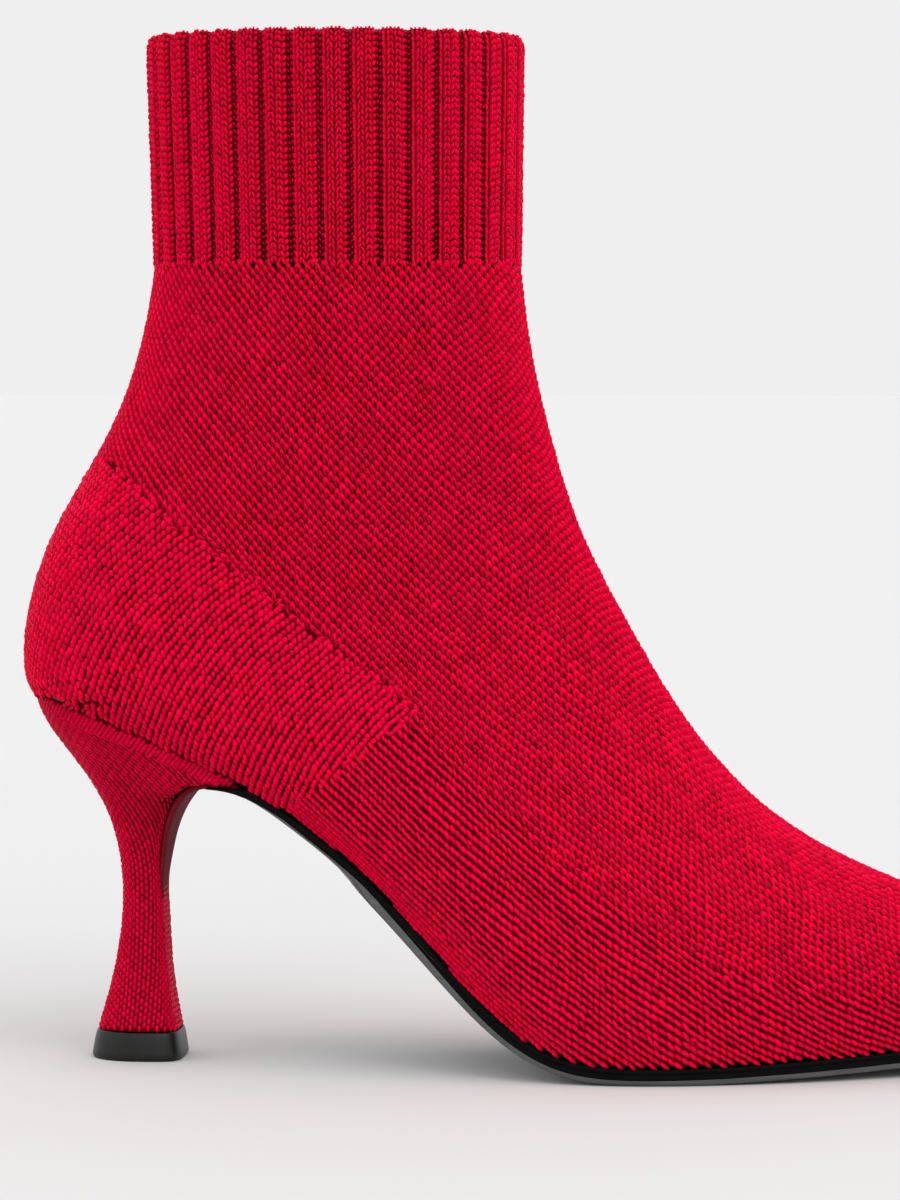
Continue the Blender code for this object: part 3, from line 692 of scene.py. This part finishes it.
perimeterMean = 0.5 * sum(cuffParts["length"]) / 2 * ovalRound
courses = int((profileRun[-1] - 2.0) / cuffParts["course"])
groups = []
for rib in range(cuffParts["ribs"]):
    for part, shift, high in (("legs", 0.5, cuffParts["legHigh"]), ("groove", 0.0, cuffParts["grooveHigh"])):
        for spot, lean, width, length in cuffParts[part]:
            uneven = dice.uniform(-cuffParts["uneven"], cuffParts["uneven"])
            runs = (np.arange(courses) + 0.5) * cuffParts["course"] + uneven
            around = (rib + shift) * ribPitch + spot / perimeterMean
            share = np.full(courses, around) + dice.normal(0.0, 0.00008)
            groups.append(cuffStitches(
                share, runs, np.full(courses, lean), np.full(courses, width),
                np.full(courses, length * cuffParts["course"]), np.full(courses, high)))
allCuff = joined(groups)
front = allCuff["place"][:, 1] < 0
for name, mask in {"cuff_knit_outer": front, "cuff_knit_inner": ~front}.items():
    part = keep(allCuff, mask)
    addPiece(name, stitchMesh(name, part, strokeStitch), [redYarn])
    print(name, len(part["place"]), "stitches")

# The ring under those stitches: a grid wrapped round the cuff and closed on itself both ways.
ringLevels = np.concatenate([np.linspace(0.0, profileRun[2], 8),
                             np.linspace(profileRun[2], profileRun[-1], 13)[1:]])
levelsUp = len(ringLevels)
ring = bmesh.new()
bmesh.ops.create_grid(ring, x_segments=cuffParts["ribs"] * 12, y_segments=levelsUp, size=1.0)
for vert in ring.verts:
    share = (vert.co.x + 1) / 2
    level = int(round((vert.co.y + 1) / 2 * levelsUp)) % levelsUp
    extra = cuffParts["ground"] * (1 if ringLevels[level] < profileRun[5] else cuffParts["groundInside"])
    vert.co = Vector(cuffPoint(share, ringLevels[level], extra)) * mm
bmesh.ops.remove_doubles(ring, verts=ring.verts, dist=0.01 * mm)
bmesh.ops.recalc_face_normals(ring, faces=ring.faces)
for face in ring.faces:
    face.smooth = True
addPiece("cuff_ring", ring, [grooveGround])
print("cuff made")


# The knit-covered heel: fine columns that lean with the flare, under a band of slanting beads at its lip.
heelParts = {"lift": 0.2, "groundDepth": 0.28, "columnGap": 1.02,
             # height, how steeply the columns stand there in degrees, and the length of a stitch
             "lean": ((0.0, 8.0, 20.0, 40.0, 48.0, 55.0, 62.0, 70.0, 82.0),
                      (97.0, 96.0, 93.0, 90.0, 78.0, 62.0, 50.0, 42.0, 38.0)),
             "stitch": ((0.0, 45.0, 60.0, 82.0), (1.5, 1.5, 1.9, 2.1)),
             "roundness": ((0.0, 46.0, 62.0, 75.0), (8.0, 8.0, 10.0, 14.0)),
             "fan": ((46.0, 64.0), (1.0, 0.8)), "pivot": 30.0, "lipBand": (0.2, 3.0), "closing": 0.8,
             "flare": (44.0, 58.0), "flareShade": 0.14, "cells": (0.03, 12.0), "sharp": 50.0,
             "seatFaces": 0.6, "footFaces": -0.95}
# The front corners of the lip are as wide as the foot above them.
heelCorner = {"along": (26.0, 40.0), "side": (9.0, 17.0), "up": (58.5, 62.5),
              "half": ((26.0, 41.0, 53.0), (24.0, 24.3, 23.6))}
heelRidge = {"half": 0.14, "overlap": 0.06, "columns": 0.8, "rows": 1.2, "frontTop": 42.0, "steepest": 6.0,
             "lengthShare": 1.25, "widthShare": 1.9}
heelLay = {"column": {"alongC": 0.14, "alongR": -2.0, "length": 1.12, "width": 2.0, "high": 0.28},
           "flare": {"length": 1.5, "width": 1.7},
           "band": {"alongC": -1.8, "alongR": -1.6, "length": 1.3, "width": 2.3, "high": 0.34}, "low": -0.38}
heelJitter = {"turn": 0.07, "place": 0.04, "size": 0.06, "height": 0.04, "tint": 0.08}


def onSeat(face):
    return face.normal.z > heelParts["seatFaces"]


def onFoot(face):
    return face.normal.z < heelParts["footFaces"]


heelShell = mergedCopy("heel")
for vert in heelShell.verts:
    spot = np.array(vert.co) / mm + tableShift
    reach = (smoothStep(spot[0], *heelCorner["along"]) * smoothStep(abs(spot[1]), *heelCorner["side"])
             * smoothStep(spot[2], *heelCorner["up"]))
    missing = max(np.interp(spot[0], *heelCorner["half"]) - abs(spot[1]), 0.0)
    vert.co.y += math.copysign(reach * missing, spot[1]) * mm
heelShell.normal_update()
seat = {vert for face in heelShell.faces if onSeat(face) for vert in face.verts}
skinSource = heelShell.copy()
bmesh.ops.delete(skinSource, context="FACES", geom=[f for f in skinSource.faces if onSeat(f) or onFoot(f)])
heelSkin = denseSkin(skinSource, 3, heelParts["lift"])
skinSource.free()
heelTable = heelSkin[0] + tableShift
heelX, heelZ = unrolled(heelSkin[0], heelSkin[1], np.interp(heelTable[:, 2], *heelParts["roundness"]))
levels = np.arange(0.0, 100.0, 0.5)
lean = np.radians(np.interp(levels, *heelParts["lean"]))
shiftX = -np.concatenate([[0.0], np.cumsum(0.5 / np.tan(lean))[:-1]])
stitchUp = 0.5 / np.sin(lean) / np.interp(levels, *heelParts["stitch"])
rowRun = np.concatenate([[0.0], np.cumsum(stitchUp)[:-1]])
heelColumn = ((heelX - np.interp(heelZ, levels, shiftX) - heelParts["pivot"])
              * np.interp(heelZ, *heelParts["fan"]) / heelParts["columnGap"])
heelRow = np.interp(heelZ, levels, rowRun)
heelSpots = crossings(heelSkin, heelColumn, 2 * heelRow, np.ones(len(heelX), bool))
banded = -aboveSeat(heelSpots["place"] + tableShift) < heelParts["lipBand"][1]
heelSpots = keep(heelSpots, banded | ((heelSpots["column"] + heelSpots["row"]) % 2 == 0))      # staggered
spotTable = heelSpots["place"] + tableShift
underLip = -aboveSeat(spotTable)
banded = underLip < heelParts["lipBand"][1]
onFlare = smoothStep(spotTable[:, 2], *heelParts["flare"])
plain, flared, band = heelLay["column"], heelLay["flare"], heelLay["band"]
zigzag = plain["alongC"] * np.where(heelSpots["column"] % 2 == 0, 1, -1)
heelStitches = layStitches(
    heelSpots, np.where(banded, band["alongC"], zigzag), np.where(banded, band["alongR"], plain["alongR"]),
    np.where(banded, band["length"], onFlare * flared["length"] + (1 - onFlare) * plain["length"]),
    np.where(banded, band["width"], onFlare * flared["width"] + (1 - onFlare) * plain["width"]),
    heelLay["low"], np.where(banded, band["high"], plain["high"]), heelJitter)
# Painted shade: the stitches on the flare are drawn darker, as it faces down and away from the light.
heelStitches["tint"] *= 1 - heelParts["flareShade"] * onFlare
smallest, largest = heelParts["cells"]
heelStitches = keep(heelStitches, (heelStitches["cell"] > smallest) & (heelStitches["cell"] < largest)
                    & (underLip > heelParts["lipBand"][0])
                    & (np.abs(heelStitches["up"][:, 1]) > heelRidge["half"]))
columnMesh = stitchMesh("heel_knit_stitches", heelStitches, strokeStitch)
addPiece("heel_knit_stitches", columnMesh, [heelYarn])
print("heel stitches:", len(heelStitches["place"]))

for vert in heelShell.verts:
    if not any(onSeat(face) or onFoot(face) for face in vert.link_faces):
        vert.co += vert.normal * (heelParts["lift"] - heelParts["groundDepth"]) * mm
for vert in seat:
    vert.co.z += heelParts["closing"] * mm                    # no light between the heel and the foot
for face in heelShell.faces:
    face.smooth = True
for edge in heelShell.edges:
    if edge.is_manifold and edge.calc_face_angle() > math.radians(heelParts["sharp"]):
        edge.smooth = False
creases = heelShell.edges.layers.float.new("crease_edge")
for edge in heelShell.edges:
    edge[creases] = 0.0 if edge.smooth else 1.0

# A plain strip where the two sides meet, up the back and up the front as far as the flap.
ridge = crossings(heelSkin, heelTable[:, 1] / heelRidge["columns"] + 0.5,
                  -heelTable[:, 2] / heelRidge["rows"], np.abs(heelSkin[1][:, 1]) < heelRidge["half"] + 0.3)
ridgeTable = ridge["place"] + tableShift
ridge = keep(ridge, (np.abs(ridge["up"][:, 1]) < heelRidge["half"] + heelRidge["overlap"])
             & (-aboveSeat(ridgeTable) > heelParts["lipBand"][0])
             & ((ridge["up"][:, 0] < 0) | (ridgeTable[:, 2] < heelRidge["frontTop"])))
ridgeStitches = layStitches(ridge, 0.0, 1.0, heelRidge["lengthShare"], heelRidge["widthShare"],
                            heelLay["low"], plain["high"], heelJitter)
ridgeStitches = keep(ridgeStitches, ridgeStitches["cell"] < heelRidge["steepest"])
ridgeMesh = stitchMesh("heel_middle_knit", ridgeStitches, strokeStitch)
addPiece("heel_middle_knit", ridgeMesh, [heelYarn])
print("heel middle stitches:", len(ridgeStitches["place"]))
heelPiece = addPiece("heel_cover_ground", heelShell, [grooveGround], ["heel"])
addSubdivision(heelPiece, 2)


# The sole's back end runs out thin along the front of the heel's lip, and its waist is full underneath.
soleForm = {"capLength": 2.2, "backward": -0.5, "tailX": 44.0, "tailZ": 63.0, "tailShare": 0.22,
            "plump": 0.9, "waistFrom": (52.0, 62.0), "waistTo": (85.0, 105.0), "downward": -0.3,
            "polishedTo": 100.0, "sideways": 0.93}


def thinSole(bm):
    bm.normal_update()
    end = min(v.co.x for v in bm.verts) + soleForm["capLength"] * mm
    cap = [f for f in bm.faces if all(v.co.x < end for v in f.verts) and f.normal.x < soleForm["backward"]]
    made = bmesh.ops.extrude_face_region(bm, geom=cap)["geom"]
    bmesh.ops.delete(bm, geom=cap, context="FACES")
    moved = [v for v in made if isinstance(v, bmesh.types.BMVert)]
    top = max(v.co.z for v in moved)
    for vert in moved:
        depth = top - vert.co.z
        vert.co.x = (soleForm["tailX"] - tableShift[0]) * mm
        vert.co.z = (soleForm["tailZ"] - tableShift[2]) * mm - soleForm["tailShare"] * depth
    bm.normal_update()
    for vert in bm.verts:
        along = vert.co.x / mm + tableShift[0]
        share = smoothStep(along, *soleForm["waistFrom"]) * (1 - smoothStep(along, *soleForm["waistTo"]))
        if vert.normal.z < soleForm["downward"]:
            vert.co += vert.normal * soleForm["plump"] * share * mm


# The waist's underside has no hard edge, so it catches light from the floor.
def underWaist(edge):
    middle = (edge.verts[0].co + edge.verts[1].co) / 2 / mm + Vector(tableShift)
    return middle.x < soleForm["polishedTo"] and bool(edge.link_faces) and all(
        face.normal.z < soleForm["downward"] or face.normal.x < -0.9 for face in edge.link_faces)


# The flap's upper end is pressed on the heel, and its lower end tapers into the heel's front.
flapForm = {"press": (-0.5, 0.0, 0.5), "pressedFrom": (52.0, 58.0), "sunkBelow": (35.0, 48.0), "sink": 0.85,
            "narrow": 0.25}


def thinFlap(bm):
    bm.normal_update()
    for vert in bm.verts:
        height = vert.co.z / mm
        if vert.normal.z > vert.normal.x:
            vert.co += Vector(flapForm["press"]) * mm * smoothStep(height, *flapForm["pressedFrom"])
        sunk = 1 - smoothStep(vert.co.z / mm, *flapForm["sunkBelow"])
        vert.co.x -= flapForm["sink"] * sunk * mm
        vert.co.y *= 1 - flapForm["narrow"] * sunk


hardPieces = {
    "outsole": {"piece": "outsole_unit", "materials": [soleEdge, soleUnderside], "slot": "black_sole",
                "sharp": 28.0, "levels": 2, "crease": 1.0, "shaped": thinSole, "softened": underWaist},
    "insole": {"piece": "insole_board", "materials": [insoleLining], "slot": "insole_lining",
               "sharp": 35.0, "levels": 1, "crease": 0.8},
    "heel_breast": {"piece": "heel_breast_flap", "materials": [satinLeather], "slot": "maroon_leather",
                    "sharp": 35.0, "levels": 2, "crease": 0.85, "shaped": thinFlap},
    "heel_tip": {"piece": "heel_tip_piece", "materials": [tipRubber], "slot": "tip_rubber",
                 "sharp": 35.0, "levels": 2, "crease": 0.8}}


def roundedCopy(nodeName, form):
    bm = mergedCopy(nodeName)
    bm.normal_update()
    for face in bm.faces:       # a second material is the underside's
        face.material_index = int(len(form["materials"]) > 1 and face.normal.z < soleForm["downward"]
                                  and abs(face.normal.y) < soleForm["sideways"])
    if "shaped" in form:
        form["shaped"](bm)
    bm.normal_update()
    creases = bm.edges.layers.float.new("crease_edge")
    for edge in bm.edges:
        hard = edge.calc_face_angle(0.0) > math.radians(form["sharp"])
        if "softened" in form and form["softened"](edge):
            hard = False
        edge[creases] = form["crease"] if hard else 0.0
    for face in bm.faces:
        face.smooth = True
    piece = addPiece(form["piece"], bm, form["materials"], [nodeName])
    addSubdivision(piece, form["levels"])


for nodeName, form in hardPieces.items():
    roundedCopy(nodeName, form)
print("hard pieces made")


# Floor, light and camera. Each light: where it stands, its strength and how wide it is in degrees.
stageLook = {"floor": "#D7D7D7", "radius": 30.0, "background": 0.863, "ambient": 0.95,
             "suns": (("left_sun", (-1.0, -0.5, 0.6), 0.22, 50.0), ("right_sun", (0.7, -0.5, 1.0), 0.9, 50.0),
                      ("front_sun", (0.25, -1.0, 0.7), 0.48, 45.0))}
floorMaterial, tree, shader = newMaterial("matt_paper_floor", {
    "Base Color": toLinear(stageLook["floor"]), "Roughness": 0.9, "Specular IOR Level": 0.1})
bpy.ops.mesh.primitive_circle_add(vertices=96, radius=stageLook["radius"], fill_type="NGON")
floor = bpy.context.object
floor.name = "floor"
floor.data.materials.append(floorMaterial)

world = bpy.data.worlds.new("studio")
world.use_nodes = True
bpy.context.scene.world = world
worldTree = world.node_tree
path = addNode(worldTree, "ShaderNodeLightPath")
strength = addNode(worldTree, "ShaderNodeMix", {
    "Factor": path.outputs["Is Camera Ray"], "A": stageLook["ambient"], "B": stageLook["background"],
}, data_type="FLOAT")
backdrop = worldTree.nodes["Background"]
backdrop.inputs["Color"].default_value = (1.0, 1.0, 1.0, 1.0)
worldTree.links.new(strength.outputs[0], backdrop.inputs["Strength"])

for name, spot, power, spread in stageLook["suns"]:          # far, wide lights: even over the whole floor
    light = bpy.data.lights.new(name, "SUN")
    light.energy, light.angle = power, math.radians(spread)
    lamp = bpy.data.objects.new(name, light)
    lamp.location = spot
    lamp.rotation_euler = (-Vector(spot)).to_track_quat("-Z", "Y").to_euler()
    bpy.context.collection.objects.link(lamp)

cameraSetup = {"spot": (0.0704, -1.0745, 0.1552), "target": (-0.0236, 0.000135, 0.1038), "lens": 144.2}
cameraData = bpy.data.cameras.new("camera")
cameraData.lens, cameraData.sensor_width = cameraSetup["lens"], 36.0
camera = bpy.data.objects.new("camera", cameraData)
camera.location = cameraSetup["spot"]
sight = Vector(cameraSetup["target"]) - Vector(cameraSetup["spot"])
camera.rotation_euler = sight.to_track_quat("-Z", "Y").to_euler()
bpy.context.collection.objects.link(camera)
bpy.context.scene.camera = camera
bpy.context.scene.view_settings.view_transform = "Standard"
print("stage set")
